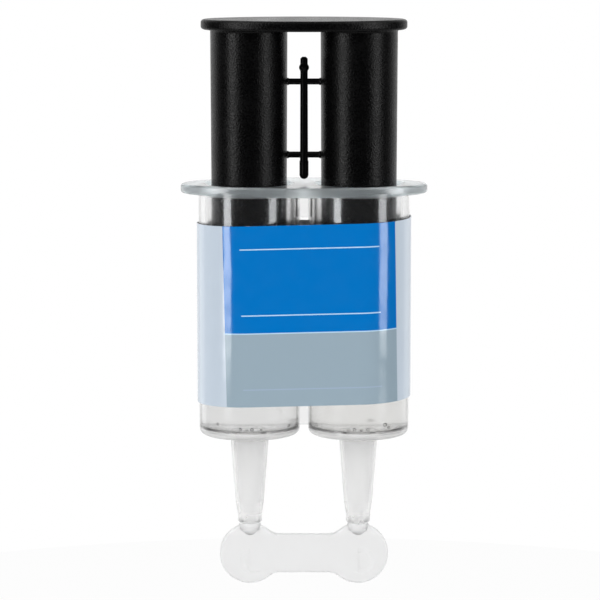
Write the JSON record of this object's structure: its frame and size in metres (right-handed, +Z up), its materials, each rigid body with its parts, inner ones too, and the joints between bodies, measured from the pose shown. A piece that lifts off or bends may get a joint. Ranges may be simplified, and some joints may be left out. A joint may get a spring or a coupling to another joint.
{
  "type": "epoxy syringe",
  "caption": "Two-barrel epoxy syringe with a joined plunger, finger flange, twin nozzles closed by a snap-off tab, a reseal stem and a wrap-round label.",
  "frame": {"origin": "middle of the snap-off tab's lowest edge, on the plane between the two barrels", "axes": "+Z up along the barrels towards the thumb plate, +X from the left barrel to the right one, -Y towards the front of the label"},
  "size_m": [0.0382, 0.0174, 0.0886],
  "materials": {
    "clear_plastic": "clear moulded polypropylene, glossy, slightly milky",
    "tab_plastic": "the same clear plastic in a thin solid moulding, slightly milky",
    "black_plastic": "black moulding with a fine spark-eroded grain",
    "piston_plastic": "smooth dark polyethylene",
    "stem_plastic": "black, smooth from the mould",
    "label_film": "glossy printed film with blue and pale grey panels",
    "resin": "clear, almost colourless thick liquid",
    "hardener": "clear thick liquid with a faint straw tint"
  },
  "bodies": {
    "barrels": {"barrel_body": "clear_plastic", "label": "label_film", "resin_charge": "resin", "hardener_charge": "hardener"},
    "plunger": {"plunger": "black_plastic", "left_piston": "piston_plastic", "right_piston": "piston_plastic"},
    "reseal_stem": {"reseal_stem": "stem_plastic"},
    "snap_off_tab": {"snap_off_tab": "tab_plastic"}
  },
  "joints": [
    {"name": "plunger_slide", "type": "slide", "parent": "barrels", "child": "plunger", "axis": [0, 0, -1], "range_m": [0, 0.022], "deforming": ["resin_charge", "hardener_charge"]},
    {"name": "stem_pull", "type": "slide", "parent": "barrels", "child": "reseal_stem", "axis": [0, -1, 0], "range_m": [0, 0.06]},
    {"name": "tab_pull", "type": "slide", "parent": "barrels", "child": "snap_off_tab", "axis": [0, 0, -1], "range_m": [0, 0.025]}
  ],
  "couplings": [
    {"joint": "stem_pull", "follows": "plunger_slide", "ratio": 2.7}
  ]
}
